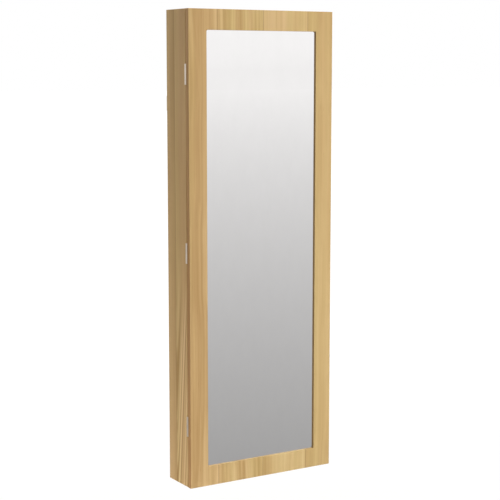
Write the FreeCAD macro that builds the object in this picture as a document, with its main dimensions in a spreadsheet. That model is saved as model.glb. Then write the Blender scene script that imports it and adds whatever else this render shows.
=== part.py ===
import FreeCAD, Part
import os
import re
from math import pi

import Sketcher
from FreeCAD import Rotation, Vector

# A wall-hung jewelry cabinet behind a mirror door.
# The row's origin is halfway between the two keyhole entries, on the wall: the wall is the plane y = 0,
# the front faces -Y, +X is to the right as seen from the front, and +Z is up.  Lengths are in mm.

EARRING_STRIPS = 4
EARRING_HOLES = 20
RIDGES = 10
PEGS = 9
KNUCKLES = 5

SIZES = {
    # the whole cabinet
    "cabinet_width": 375,
    "cabinet_height": 1060,
    "cabinet_depth": 100,
    "board": 15,
    "edge_round": 0.8,
    "fit_clearance": 0.1,
    "end_chamfer": 1,
    # back panel in its grooves, and the velvet-faced lining in front of it
    "back_thickness": 3,
    "back_setback": 7,
    "groove_depth": 4.5,
    "groove_clearance": 0.15,
    "groove_end_gap": 0.5,
    "lining_thickness": 2,
    "lining_margin": 0.3,
    # keyhole hanger plates on the rear edges of the side panels
    "hang_drop": 204,
    "hanger_thickness": 2.5,
    "hanger_width": 14,
    "hanger_height": 36,
    "hanger_corner": 3,
    "keyhole_entry_radius": 4.5,
    "keyhole_slot_radius": 2.3,
    "keyhole_rise": 8,
    "hanger_screw_rise": 15,
    "head_pocket_margin": 0.5,
    "head_pocket_width": 11,
    "head_pocket_depth": 6,
    # corner joints
    "dowel_radius": 4,
    "dowel_length": 30,
    "dowel_side_depth": 11,
    "dowel_end_gap": 0.5,
    "dowel_inset": 20,
    "cam_radius": 7.4,
    "cam_thickness": 12,
    "cam_offset": 24,
    "cam_slot_radius": 3.8,
    "cam_cross_length": 8,
    "cam_cross_width": 1.6,
    "cam_cross_depth": 1.5,
    "bolt_thread_radius": 2.5,
    "bolt_neck_radius": 2,
    "bolt_head_radius": 3.2,
    "bolt_head_length": 3,
    # door and mirror
    "door_thickness": 12,
    "frame_width": 45,
    "opening_corner": 4,
    "mirror_lip": 4,
    "rebate_width": 8,
    "glass_thickness": 3,
    "glass_margin": 0.5,
    "glass_corner": 2,
    "pad_thickness": 1,
    # butt hinges
    "hinge_gap": 2,
    "hinge_inset": 140,
    "hinge_length": 45,
    "knuckle_radius": 2.5,
    "knuckle_clearance": 0.25,
    "knuckle_end_gap": 0.1,
    "pin_radius": 1.2,
    "pin_clearance": 0.05,
    "leaf_width": 13,
    "leaf_gap": 0.1,
    "leaf_screw_offset": 8,
    "leaf_screw_pitch": 15,
    "notch_clearance": 0.3,
    # one countersunk screw for all fittings
    "screw_radius": 1.1,
    "screw_head_radius": 1.9,
    "screw_length": 9,
    "screw_point": 1.5,
    "screw_cross_length": 2,
    "screw_cross_width": 0.4,
    "screw_cross_depth": 0.5,
    "screw_fit": 0.05,
    "pilot_depth": 9.2,
    # shelves on pins, and their clear guards
    "shelf_thickness": 8,
    "shelf_depth": 48,
    "shelf_clearance": 0.3,
    "shelf_1_height": 640,
    "shelf_2_height": 400,
    "shelf_3_height": 270,
    "shelf_4_height": 140,
    "shelf_pin_radius": 2.5,
    "shelf_pin_length": 17,
    "shelf_pin_depth": 10,
    "shelf_pin_setback": 9,
    "guard_thickness": 2.5,
    "guard_height": 38,
    "guard_setback": 2,
    "guard_groove": 3,
    # upper bays
    "divider_thickness": 8,
    "ring_bay_width": 116,
    "divider_dowel_radius": 2.5,
    "divider_dowel_length": 12,
    "divider_dowel_inset": 12,
    "rail_height": 18,
    "rail_thickness": 12,
    "rail_drop": 30,
    "rail_margin": 2,
    "peg_margin": 16.5,
    "peg_radius": 2,
    "peg_sunk": 8,
    "peg_reach": 26,
    "peg_head_radius": 4.5,
    "peg_head_length": 5,
    "peg_head_flare": 1,
    "peg_dome_length": 1.5,
    "peg_dome_radius": 2.5,
    # ring tray and its cushion
    "tray_height": 290,
    "tray_depth": 26,
    "tray_margin": 1,
    "tray_wall": 4,
    "tray_floor": 3,
    "cushion_margin": 0.3,
    "cushion_base": 8,
    "ridge_gap": 0.6,
    # bracelet bar
    "bar_drop": 40,
    "bar_radius": 7,
    "bar_setback": 24,
    "cup_radius": 11,
    "cup_length": 8,
    "cup_floor": 2,
    "cup_stub_radius": 2.5,
    "cup_stub_length": 8,
    "bar_clearance": 0.2,
    # magnetic catch, strike, bumpers and finger pull
    "catch_width": 12,
    "catch_depth": 16,
    "catch_height": 38,
    "catch_recess": 0.2,
    "catch_ear": 8,
    "catch_ear_thickness": 3,
    "catch_ear_setback": 2,
    "pole_height": 22,
    "pole_thickness": 1.2,
    "pole_depth": 13,
    "magnet_thickness": 3.6,
    "magnet_depth": 10,
    "magnet_setback": 1,
    "catch_gap": 0.1,
    "strike_thickness": 1.2,
    "strike_width": 10,
    "strike_height": 40,
    "strike_screw_rise": 15,
    "bumper_radius": 4,
    "bumper_inset": 60,
    "pull_width": 10,
    "pull_height": 60,
    "pull_depth": 9,
    "pull_corner": 4,
    # clips that hold the mirror's lining board
    "clip_thickness": 1.2,
    "clip_width": 10,
    "clip_reach": 16,
    "clip_tail": 6,
    "clip_offset": 8,
    "clip_inset_outer": 120,
    "clip_inset_inner": 400,
    # earring rack on the door
    "rack_drop": 80,
    "rack_height": 280,
    "rack_depth": 20,
    "rack_inset": 6.5,
    "upright_width": 8,
    "strip_thickness": 3,
    "strip_height": 18,
    "strip_margin": 10,
    "earring_hole_radius": 1.2,
    "earring_hole_drop": 5,
    "earring_margin": 18,
    # tray on the door
    "door_tray_height": 180,
    "door_tray_inset": 12.5,
    "door_tray_floor_thickness": 5,
    "door_tray_wall": 45,
    "door_tray_guard_thickness": 2.5,
    "cheek_thickness": 5,
}

# Lengths and places worked out from the sizes.  Names that end in _x, _y or _z are places in the row's
# frame; "height" is measured from the underside of the cabinet.
LENGTHS = {
    "base_z": "hang_drop - cabinet_height",
    "half_width": "cabinet_width / 2",
    "inner_width": "cabinet_width - 2 * board",
    "inner_half": "half_width - board",
    "inner_height": "cabinet_height - 2 * board",
    "carcass_depth": "cabinet_depth - door_thickness - hinge_gap",
    "door_front_y": "-hanger_thickness - cabinet_depth",
    "door_back_y": "door_front_y + door_thickness",
    "carcass_front_y": "door_back_y + hinge_gap",
    "hinge_y": "door_back_y + hinge_gap / 2",
    "back_front_y": "-hanger_thickness - back_setback - back_thickness",
    "lining_front_y": "back_front_y - lining_thickness",
    "groove_start": "back_front_y - groove_clearance - carcass_front_y",
    "groove_width": "back_thickness + 2 * groove_clearance",
    "back_entry": "groove_depth - groove_end_gap",
    "hang_height": "cabinet_height - hang_drop",
    "hanger_x": "half_width - board / 2",
    "head_pocket_low": "keyhole_entry_radius + head_pocket_margin",
    "head_pocket_high": "keyhole_rise + keyhole_entry_radius",
    # joints of the carcass
    "bore_gap": "2 * fit_clearance",
    "dowel_start": "dowel_end_gap - dowel_side_depth",
    "dowel_end": "dowel_start + dowel_length",
    "dowel_end_depth": "dowel_end + dowel_end_gap",
    "bolt_reach": "cam_offset + bolt_head_length / 2",
    # shelves
    "shelf_back_y": "lining_front_y - shelf_clearance",
    "shelf_front_y": "shelf_back_y - shelf_depth",
    "shelf_width": "inner_width - 2 * shelf_clearance",
    "shelf_front_setback": "shelf_front_y - carcass_front_y",
    "pin_front": "shelf_front_setback + shelf_pin_setback",
    "pin_rear": "shelf_front_setback + shelf_depth - shelf_pin_setback",
    "pin_drop": "shelf_pin_radius + fit_clearance",
    # upper bays
    "bay_floor": "shelf_1_height + shelf_thickness",
    "bay_height": "cabinet_height - board - bay_floor",
    "divider_right_x": "inner_half - ring_bay_width",
    "divider_left_x": "divider_right_x - divider_thickness",
    "divider_x": "divider_right_x - divider_thickness / 2",
    "necklace_bay_width": "divider_left_x + inner_half",
    "rail_length": "necklace_bay_width - 2 * rail_margin",
    "peg_pitch": f"(rail_length - 2 * peg_margin) / {PEGS - 1}",
    "rail_base": "cabinet_height - board - rail_drop - rail_height",
    "tray_width": "inner_half - divider_right_x - 2 * tray_margin",
    "tray_inner_width": "tray_width - 2 * tray_wall",
    "tray_inner_height": "tray_height - 2 * tray_wall",
    "cushion_width": "tray_inner_width - 2 * cushion_margin",
    "cushion_height": "tray_inner_height - 2 * cushion_margin",
    "ridge_pitch": f"cushion_height / {RIDGES}",
    "bar_y": "shelf_back_y - bar_setback",
    "bar_height": "shelf_1_height - bar_drop",
    # hinges
    "lower_hinge": "hinge_inset",
    "middle_hinge": "cabinet_height / 2",
    "upper_hinge": "cabinet_height - hinge_inset",
    "knuckle_length": f"hinge_length / {KNUCKLES}",
    "leaf_thickness": "hinge_gap / 2 - leaf_gap",
    "notch_radius": "knuckle_radius + notch_clearance",
    "notch_length": "hinge_length + 2 * notch_clearance",
    "leaf_screw_x": "leaf_screw_offset - half_width",
    # door
    "opening_width": "cabinet_width - 2 * frame_width",
    "opening_height": "cabinet_height - 2 * frame_width",
    "rebate_depth": "door_thickness - mirror_lip",
    "rebate_start": "frame_width - rebate_width",
    "glass_width": "opening_width + 2 * rebate_width - 2 * glass_margin",
    "glass_height": "opening_height + 2 * rebate_width - 2 * glass_margin",
    "glass_start": "rebate_start + glass_margin",
    "door_lining_thickness": "rebate_depth - glass_thickness - pad_thickness",
    "clip_line": "rebate_start - clip_offset",
    "catch_height_up": "cabinet_height / 2",
    "catch_x": "inner_half - catch_width / 2",
    "catch_front_y": "carcass_front_y + catch_recess",
    "pole_reach": "catch_front_y - door_back_y - strike_thickness - catch_gap",
    "pole_spread": "magnet_thickness + 2 * pole_thickness",
    "bumper_thickness": "hinge_gap - fit_clearance",
    "rack_half_width": "opening_width / 2 - rack_inset",
    "rack_base": "cabinet_height - rack_drop - rack_height",
    "upright_depth": "rack_depth - strip_thickness",
    "strip_pitch": f"(rack_height - 2 * strip_margin - strip_height) / {EARRING_STRIPS - 1}",
    "earring_span": "2 * rack_half_width - 2 * earring_margin",
    "door_tray_half_width": "opening_width / 2 - door_tray_inset",
    "door_tray_depth": "rack_depth - door_tray_guard_thickness",
}

HINGES = ("upper_hinge", "middle_hinge", "lower_hinge")
SHELVES = ("shelf_1", "shelf_2", "shelf_3", "shelf_4")

# How a screw, modelled with its head up and its point down, is turned to point along each direction.
TO_REAR = Rotation(Vector(1, 0, 0), 90)
TO_FRONT = Rotation(Vector(1, 0, 0), -90)
TO_RIGHT = Rotation(Vector(0, 1, 0), -90)
UNTURNED = Rotation()
HALF_TURN = Rotation(Vector(0, 0, 1), 180)

doc = FreeCAD.newDocument("JewelryMirrorCabinet")
sheet = doc.addObject("Spreadsheet::Sheet", "Sizes")
for line, (name, number) in enumerate(SIZES.items(), start=1):
    sheet.set(f"A{line}", name)
    sheet.set(f"B{line}", str(number))
    sheet.setAlias(f"B{line}", name)
doc.recompute()

sub_parts = []


# ---------------------------------------------------------------- formulas and places

def formula(text):
    """Spell out a formula: a size is read from the sheet, a worked-out length is put in brackets."""
    def spell(match):
        word = match.group()
        if word in LENGTHS:
            return "(" + formula(LENGTHS[word]) + ")"
        if word in SIZES:
            return "Sizes." + word
        raise KeyError(f"{word} is neither a size nor a worked-out length")
    return re.sub(r"[a-z][a-z0-9_]*", spell, text)


def bind(item, setting, text):
    item.setExpression(setting, formula(text))


def place(item, x, y, z, turn=UNTURNED):
    item.Placement.Rotation = turn
    for axis, text in zip("xyz", (x, y, z)):
        bind(item, "Placement.Base." + axis, text)


def height(text):
    """The z of a height above the underside of the cabinet."""
    return "base_z + " + text


# ---------------------------------------------------------------- sketches and features

def new_body(label):
    body = doc.addObject("PartDesign::Body", label)
    body.Label = label
    sub_parts.append(body)
    return body


def origin_feature(body, role):
    return next(feature for feature in body.Origin.OriginFeatures if feature.Role == role)


def new_sketch(body, plane, level="0"):
    """A sketch on an origin plane: XY faces +Z, YZ faces +X, and XZ faces -Y, so its level is minus y."""
    sketch = body.newObject("Sketcher::SketchObject", "Sketch")
    sketch.AttachmentSupport = [(origin_feature(body, plane + "_Plane"), "")]
    sketch.MapMode = "FlatFace"
    bind(sketch, ".AttachmentOffset.Base.z", level)
    return sketch


def dimension(sketch, kind, ends, text):
    number = sketch.addConstraint(Sketcher.Constraint(kind, *ends, 1.0))
    bind(sketch, f"Constraints[{number}]", text)


def add_polygon(sketch, corners):
    """A closed outline through corners, each given as two formulas from the sketch's origin."""
    first = sketch.GeometryCount
    count = len(corners)
    starts = [Vector(10 * (index + 1), 7 * index * (count - index), 0) for index in range(count)]
    for index in range(count):
        sketch.addGeometry(Part.LineSegment(starts[index], starts[(index + 1) % count]))
    for index in range(count):
        follower = first + (index + 1) % count
        sketch.addConstraint(Sketcher.Constraint("Coincident", first + index, 2, follower, 1))
    for index, (across, up) in enumerate(corners):
        dimension(sketch, "DistanceX", (-1, 1, first + index, 1), across)
        dimension(sketch, "DistanceY", (-1, 1, first + index, 1), up)


def add_rectangle(sketch, left, low, width, tall):
    right = f"({left}) + ({width})"
    high = f"({low}) + ({tall})"
    add_polygon(sketch, [(left, low), (right, low), (right, high), (left, high)])


def add_circle(sketch, across, up, radius):
    number = sketch.addGeometry(Part.Circle(Vector(1, 1, 0), Vector(0, 0, 1), 1))
    dimension(sketch, "DistanceX", (-1, 1, number, 3), across)
    dimension(sketch, "DistanceY", (-1, 1, number, 3), up)
    dimension(sketch, "Radius", (number,), radius)


def pad(body, sketch, length, backwards=False):
    feature = body.newObject("PartDesign::Pad", "Pad")
    feature.Profile = sketch
    feature.Reversed = backwards
    bind(feature, "Length", length)
    doc.recompute()
    return feature


def pocket(body, sketch, depth, backwards=False):
    """Cut a sketch into the body; the cut runs against the sketch's normal unless backwards."""
    before = body.Shape.Volume
    feature = body.newObject("PartDesign::Pocket", "Pocket")
    feature.Profile = sketch
    feature.Reversed = backwards
    bind(feature, "Length", depth)
    doc.recompute()
    if body.Shape.Volume >= before:
        raise RuntimeError(f"a pocket of {body.Label} cuts nothing")
    return feature


def block(label, width, depth, tall):
    """A board whose local origin is its left, front, lower corner."""
    body = new_body(label)
    sketch = new_sketch(body, "XY")
    add_rectangle(sketch, "0", "0", width, depth)
    pad(body, sketch, tall)
    return body


def drill(body, plane, level, spots, radius, depth, backwards=False):
    sketch = new_sketch(body, plane, level)
    for across, up in spots:
        add_circle(sketch, across, up, radius)
    return pocket(body, sketch, depth, backwards)


def cut_rectangle(body, plane, level, left, low, width, tall, depth, backwards=False):
    sketch = new_sketch(body, plane, level)
    add_rectangle(sketch, left, low, width, tall)
    return pocket(body, sketch, depth, backwards)


def screw_holes(body, plane, level, spots, backwards=False):
    """Countersunk through holes for the fittings' screws."""
    before = body.Shape.Volume
    sketch = new_sketch(body, plane, level)
    for across, up in spots:
        add_circle(sketch, across, up, "screw_radius + screw_fit")
    doc.recompute()
    hole = body.newObject("PartDesign::Hole", "Hole")
    hole.Profile = sketch
    hole.Reversed = backwards
    hole.Threaded = False
    hole.DepthType = "ThroughAll"
    hole.DrillPoint = "Flat"
    hole.HoleCutType = "Countersink"
    hole.HoleCutCountersinkAngle = 90
    bind(hole, "Diameter", "2 * (screw_radius + screw_fit)")
    bind(hole, "HoleCutDiameter", "2 * (screw_head_radius + screw_fit)")
    doc.recompute()
    if body.Shape.Volume >= before:
        raise RuntimeError(f"a screw hole of {body.Label} cuts nothing")


def soften(body, kind, setting, amount, chosen):
    """Fillet or chamfer the edges for which chosen is true."""
    base = body.Tip
    names = [f"Edge{number}" for number, edge in enumerate(base.Shape.Edges, start=1) if chosen(edge)]
    if not names:
        raise RuntimeError(f"no edge of {body.Label} was chosen to soften")
    feature = body.newObject("PartDesign::" + kind, kind)
    feature.Base = (base, names)
    bind(feature, setting, amount)
    doc.recompute()


def fillet(body, radius, chosen):
    soften(body, "Fillet", "Radius", radius, chosen)


def chamfer(body, size, chosen):
    soften(body, "Chamfer", "Size", size, chosen)


def lies_at(axis, place_on_axis):
    """Chooses the edges that lie whole in the plane where that axis has that value."""
    def chosen(edge):
        box = edge.BoundBox
        low, high = getattr(box, axis + "Min"), getattr(box, axis + "Max")
        return abs(low - place_on_axis) < 1e-4 and abs(high - place_on_axis) < 1e-4
    return chosen


def runs_along(axis):
    """Chooses the straight edges that run along that axis."""
    def chosen(edge):
        box = edge.BoundBox
        others = [getattr(box, name + "Length") for name in "XYZ" if name != axis]
        return max(others) < 1e-4
    return chosen


def turned(label, outline):
    """A turned piece: the outline of (along, radius) corners spun about the local X axis."""
    body = new_body(label)
    sketch = new_sketch(body, "XY")
    add_polygon(sketch, outline)
    feature = body.newObject("PartDesign::Revolution", "Revolution")
    feature.Profile = sketch
    feature.ReferenceAxis = (sketch, ["H_Axis"])
    feature.Angle = 360
    doc.recompute()
    return body


def repeat(body, feature, axis, length, count):
    pattern = body.newObject("PartDesign::LinearPattern", "LinearPattern")
    pattern.Originals = [feature]
    pattern.Direction = (origin_feature(body, axis + "_Axis"), [""])
    bind(pattern, "Length", length)
    pattern.Occurrences = count
    body.Tip = pattern
    doc.recompute()


def set_of(label, piece, places):
    """Several alike pieces in one sub-part: the piece itself in the first place, and linked copies."""
    sub_parts.remove(piece)
    place(piece, *places[0])
    copies = [piece]
    for spot in places[1:]:
        copy = doc.addObject("App::Link", label + "_copy")
        copy.LinkedObject = piece
        copy.LinkTransform = False
        place(copy, *spot)
        copies.append(copy)
    group = doc.addObject("Part::Compound", label)
    group.Label = label
    group.Links = copies
    sub_parts.append(group)
    doc.recompute()


# ---------------------------------------------------------------- carcass

CORNER_HEIGHTS = ("board / 2", "cabinet_height - board / 2")
DOWEL_DEPTHS = ("dowel_inset", "carcass_depth - dowel_inset")
SCREW_STEPS = ("- leaf_screw_pitch", "", "+ leaf_screw_pitch")
HINGE_SCREWS = [f"{hinge} {step}" for hinge in HINGES for step in SCREW_STEPS]


def side_panel(label, on_left):
    """A full-height board with the bores, groove and hanger pocket that both sides share."""
    panel = block(label, "board", "carcass_depth", "cabinet_height")
    inner = "board" if on_left else "0"
    away = not on_left
    outer_place = 0 if on_left else panel.Shape.BoundBox.XMax
    fillet(panel, "edge_round", lies_at("X", outer_place))
    cut_rectangle(panel, "YZ", inner, "groove_start", "board - groove_depth", "groove_width",
                  "inner_height + 2 * groove_depth", "groove_depth", away)
    pins = [(depth, f"{shelf}_height - pin_drop") for shelf in SHELVES for depth in ("pin_front", "pin_rear")]
    drill(panel, "YZ", inner, pins, "shelf_pin_radius + fit_clearance", "shelf_pin_depth + fit_clearance", away)
    dowels = [(depth, level) for level in CORNER_HEIGHTS for depth in DOWEL_DEPTHS]
    drill(panel, "YZ", inner, dowels, "dowel_radius + fit_clearance", "dowel_side_depth", away)
    bolts = [("carcass_depth / 2", level) for level in CORNER_HEIGHTS]
    drill(panel, "YZ", inner, bolts, "bolt_thread_radius + fit_clearance", "dowel_side_depth", away)
    drill(panel, "YZ", inner, [("bar_y - carcass_front_y", "bar_height")], "cup_stub_radius + fit_clearance",
          "cup_stub_length + fit_clearance", away)
    cut_rectangle(panel, "XZ", "-carcass_depth", "(board - head_pocket_width) / 2",
                  "hang_height - head_pocket_low", "head_pocket_width",
                  "head_pocket_low + head_pocket_high", "head_pocket_depth", True)
    hanger_screws = [("board / 2", f"hang_height {sign} hanger_screw_rise") for sign in "+-"]
    drill(panel, "XZ", "-carcass_depth", hanger_screws, "screw_radius + fit_clearance", "pilot_depth", True)
    return panel


def left_side_panel():
    panel = side_panel("left_side_panel", on_left=True)
    for hinge in HINGES:
        drill(panel, "XY", f"{hinge} + notch_length / 2", [("0", "-hinge_gap / 2")], "notch_radius",
              "notch_length")
    drill(panel, "XZ", "0", [("leaf_screw_offset", spot) for spot in HINGE_SCREWS],
          "screw_radius + fit_clearance", "pilot_depth")
    place(panel, "-half_width", "carcass_front_y", "base_z")


def right_side_panel():
    panel = side_panel("right_side_panel", on_left=False)
    cut_rectangle(panel, "XZ", "0", "board - pull_width", "cabinet_height / 2 - pull_height / 2",
                  "pull_width", "pull_height", "pull_depth")
    reach = panel.Shape.BoundBox.YMax / 2

    def pull_corner(edge):
        box = edge.BoundBox
        return runs_along("Y")(edge) and box.YMin < 1e-4 and box.YMax < reach and box.YLength > 1
    fillet(panel, "pull_corner", pull_corner)
    ears = [("catch_recess + catch_depth / 2", f"catch_height_up {sign} (catch_height + catch_ear) / 2")
            for sign in "+-"]
    drill(panel, "YZ", "0", ears, "screw_radius + fit_clearance", "pilot_depth", True)
    place(panel, "inner_half", "carcass_front_y", "base_z")


def end_panel(label, at_top):
    """The top or bottom board between the sides, bored for dowels, cam bolts and cam locks."""
    panel = block(label, "inner_width", "carcass_depth", "board")
    inner = "0" if at_top else "board"
    cut_rectangle(panel, "XY", inner, "0", "groove_start", "inner_width", "groove_width", "groove_depth",
                  at_top)
    for level, away in (("0", True), ("inner_width", False)):
        drill(panel, "YZ", level, [(depth, "board / 2") for depth in DOWEL_DEPTHS],
              "dowel_radius + fit_clearance", "dowel_end_depth", away)
        drill(panel, "YZ", level, [("carcass_depth / 2", "board / 2")], "bolt_head_radius + bore_gap",
              "cam_offset", away)
    cams = [(across, "carcass_depth / 2") for across in ("cam_offset", "inner_width - cam_offset")]
    drill(panel, "XY", inner, cams, "cam_radius + fit_clearance", "cam_thickness + fit_clearance", at_top)
    if at_top:
        drill(panel, "XY", "0", divider_dowel_spots("inner_half + divider_x", "shelf_front_setback"),
              "divider_dowel_radius + fit_clearance", "divider_dowel_length / 2 + fit_clearance", True)
    place(panel, "-inner_half", "carcass_front_y", height("cabinet_height - board") if at_top else "base_z")


def divider_dowel_spots(across, front):
    return [(across, f"{front} + divider_dowel_inset"), (across, f"{front} + shelf_depth - divider_dowel_inset")]


def back_panel():
    panel = block("back_panel", "inner_width + 2 * back_entry", "back_thickness",
                  "inner_height + 2 * back_entry")
    place(panel, "-inner_half - back_entry", "back_front_y", height("board - back_entry"))


def back_lining():
    lining = block("back_lining", "inner_width - 2 * lining_margin", "lining_thickness",
                   "inner_height - 2 * lining_margin")
    place(lining, "-inner_half + lining_margin", "lining_front_y", height("board + lining_margin"))


def corner_dowels():
    dowel = turned("corner_dowel", [
        ("dowel_start", "0"), ("dowel_start", "dowel_radius - end_chamfer"),
        ("dowel_start + end_chamfer", "dowel_radius"), ("dowel_end - end_chamfer", "dowel_radius"),
        ("dowel_end", "dowel_radius - end_chamfer"), ("dowel_end", "0")])
    set_of("corner_dowels", dowel, [
        (side, f"carcass_front_y + {depth}", height(level), turn)
        for side, turn in (("-inner_half", UNTURNED), ("inner_half", HALF_TURN))
        for level in CORNER_HEIGHTS for depth in DOWEL_DEPTHS])


def cam_bolts():
    bolt = turned("cam_bolt", [
        ("dowel_start", "0"), ("dowel_start", "bolt_thread_radius"),
        ("0", "bolt_thread_radius"), ("0", "bolt_neck_radius"),
        ("bolt_reach - bolt_head_length", "bolt_neck_radius"),
        ("bolt_reach - bolt_head_length", "bolt_head_radius"),
        ("bolt_reach", "bolt_head_radius"), ("bolt_reach", "0")])
    set_of("cam_bolts", bolt, [
        (side, "carcass_front_y + carcass_depth / 2", height(level), turn)
        for side, turn in (("-inner_half", UNTURNED), ("inner_half", HALF_TURN))
        for level in CORNER_HEIGHTS])


def cam_locks():
    """Round locks; the local origin is on the bolt's axis, the open face is up, the bolt comes from -X."""
    cam = new_body("cam_lock")
    sketch = new_sketch(cam, "XY", "board / 2 - cam_thickness")
    add_circle(sketch, "0", "0", "cam_radius")
    pad(cam, sketch, "cam_thickness")
    drill(cam, "YZ", "bolt_head_length", [("0", "0")], "cam_slot_radius", "cam_radius + bolt_head_length")
    for wide, tall in (("cam_cross_length", "cam_cross_width"), ("cam_cross_width", "cam_cross_length")):
        cut_rectangle(cam, "XY", "board / 2", f"-{wide} / 2", f"-{tall} / 2", wide, tall, "cam_cross_depth")
    upside_down = Rotation(Vector(1, 0, 0), 180)
    both = Rotation(Vector(0, 1, 0), 180)
    middle = "carcass_front_y + carcass_depth / 2"
    set_of("cam_locks", cam, [
        ("-inner_half + cam_offset", middle, height("board / 2"), UNTURNED),
        ("inner_half - cam_offset", middle, height("board / 2"), HALF_TURN),
        ("-inner_half + cam_offset", middle, height("cabinet_height - board / 2"), upside_down),
        ("inner_half - cam_offset", middle, height("cabinet_height - board / 2"), both)])


def hanger_plate(label, across):
    """A keyhole plate on the rear edge of a side panel; its rear face is against the wall."""
    plate = new_body(label)
    sketch = new_sketch(plate, "XZ")
    add_rectangle(sketch, "-hanger_width / 2", "-hanger_height / 2", "hanger_width", "hanger_height")
    pad(plate, sketch, "hanger_thickness")
    fillet(plate, "hanger_corner", runs_along("Y"))
    drill(plate, "XZ", "0", [("0", "0")], "keyhole_entry_radius", "hanger_thickness", True)
    cut_rectangle(plate, "XZ", "0", "-keyhole_slot_radius", "0", "2 * keyhole_slot_radius", "keyhole_rise",
                  "hanger_thickness", True)
    drill(plate, "XZ", "0", [("0", "keyhole_rise")], "keyhole_slot_radius", "hanger_thickness", True)
    screw_holes(plate, "XZ", "0", [("0", "hanger_screw_rise"), ("0", "-hanger_screw_rise")], True)
    place(plate, across, "0", "0")


# ---------------------------------------------------------------- inside

def shelf(name, with_guard, with_divider):
    """A shelf on four pins; its local origin is its left, front, lower corner."""
    board = block(name, "shelf_width", "shelf_depth", "shelf_thickness")
    chamfer(board, "edge_round", lambda edge: runs_along("X")(edge) and lies_at("Y", 0)(edge))
    if with_guard:
        cut_rectangle(board, "XY", "shelf_thickness", "0", "guard_setback", "shelf_width",
                      "guard_thickness + 2 * fit_clearance", "guard_groove")
    if with_divider:
        spots = divider_dowel_spots("inner_half - shelf_clearance + divider_x", "0")
        drill(board, "XY", "shelf_thickness", spots, "divider_dowel_radius + fit_clearance",
              "divider_dowel_length / 2 + fit_clearance")
    place(board, "-inner_half + shelf_clearance", "shelf_front_y", height(f"{name}_height"))


def shelf_pins():
    pin = turned("shelf_pin", [
        ("-shelf_pin_depth", "0"), ("-shelf_pin_depth", "shelf_pin_radius"),
        ("shelf_pin_length - shelf_pin_depth - end_chamfer", "shelf_pin_radius"),
        ("shelf_pin_length - shelf_pin_depth", "shelf_pin_radius - end_chamfer"),
        ("shelf_pin_length - shelf_pin_depth", "0")])
    set_of("shelf_pins", pin, [
        (side, f"carcass_front_y + {depth}", height(f"{name}_height - pin_drop"), turn)
        for name in SHELVES
        for side, turn in (("-inner_half", UNTURNED), ("inner_half", HALF_TURN))
        for depth in ("pin_front", "pin_rear")])


def shelf_guard(number):
    guard = block(f"shelf_guard_{number}", "shelf_width", "guard_thickness", "guard_height")
    top_edges = lies_at("Z", guard.Shape.BoundBox.ZMax)
    fillet(guard, "edge_round", lambda edge: runs_along("X")(edge) and top_edges(edge))
    place(guard, "-inner_half + shelf_clearance", "shelf_front_y + guard_setback + fit_clearance",
          height(f"shelf_{number}_height + shelf_thickness - guard_groove"))


def bay_divider():
    divider = block("bay_divider", "divider_thickness", "shelf_depth", "bay_height - fit_clearance")
    fillet(divider, "edge_round", lambda edge: runs_along("Z")(edge) and lies_at("Y", 0)(edge))
    spots = divider_dowel_spots("divider_thickness / 2", "0")
    hole = ("divider_dowel_radius + fit_clearance", "divider_dowel_length / 2 + fit_clearance")
    drill(divider, "XY", "0", spots, *hole, True)
    drill(divider, "XY", "bay_height - fit_clearance", spots, *hole)
    place(divider, "divider_left_x", "shelf_front_y", height("bay_floor"))

    dowel = turned("divider_dowel", [
        ("-divider_dowel_length / 2", "0"), ("-divider_dowel_length / 2", "divider_dowel_radius"),
        ("divider_dowel_length / 2", "divider_dowel_radius"), ("divider_dowel_length / 2", "0")])
    set_of("divider_dowels", dowel, [
        (across, depth, height(level), TO_RIGHT)
        for level in ("bay_floor", "bay_floor + bay_height")
        for across, depth in divider_dowel_spots("divider_x", "shelf_front_y")])


def necklace_rail_and_pegs():
    rail = block("necklace_rail", "rail_length", "rail_thickness", "rail_height")
    fillet(rail, "3 * edge_round", lies_at("Y", 0))
    spots = [(f"peg_margin + {number} * peg_pitch", "rail_height / 2") for number in range(PEGS)]
    drill(rail, "XZ", "0", spots, "peg_radius + fit_clearance", "peg_sunk + fit_clearance")
    rail_y = "lining_front_y - rail_thickness"
    place(rail, "-inner_half + rail_margin", rail_y, height("rail_base"))

    peg = turned("necklace_peg", [
        ("-peg_sunk", "0"), ("-peg_sunk", "peg_radius"), ("peg_reach - peg_head_length", "peg_radius"),
        ("peg_reach - peg_head_length + peg_head_flare", "peg_head_radius"),
        ("peg_reach - peg_dome_length", "peg_head_radius"), ("peg_reach", "peg_dome_radius"),
        ("peg_reach", "0")])
    outwards = Rotation(Vector(0, 0, 1), -90)
    set_of("necklace_pegs", peg, [
        (f"-inner_half + rail_margin + {across}", rail_y, height(f"rail_base + {up}"), outwards)
        for across, up in spots])


def ring_tray_and_cushion():
    tray = block("ring_tray", "tray_width", "tray_depth", "tray_height")
    cut_rectangle(tray, "XZ", "0", "tray_wall", "tray_wall", "tray_inner_width", "tray_inner_height",
                  "tray_depth - tray_floor")
    fillet(tray, "edge_round", lies_at("Y", 0))
    place(tray, "divider_right_x + tray_margin", "lining_front_y - tray_depth", height("bay_floor"))

    cushion = new_body("ring_cushion")
    base = new_sketch(cushion, "XZ")
    add_rectangle(base, "0", "0", "cushion_width", "cushion_height")
    pad(cushion, base, "cushion_base")
    ridge = new_sketch(cushion, "YZ")
    add_half_disc(ridge, "-cushion_base", "ridge_pitch / 2", "(ridge_pitch - ridge_gap) / 2")
    repeat(cushion, pad(cushion, ridge, "cushion_width"), "Z", f"{RIDGES - 1} * ridge_pitch", RIDGES)
    place(cushion, "divider_right_x + tray_margin + tray_wall + cushion_margin",
          "lining_front_y - tray_floor - cushion_margin",
          height("bay_floor + tray_wall + cushion_margin"))


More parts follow.
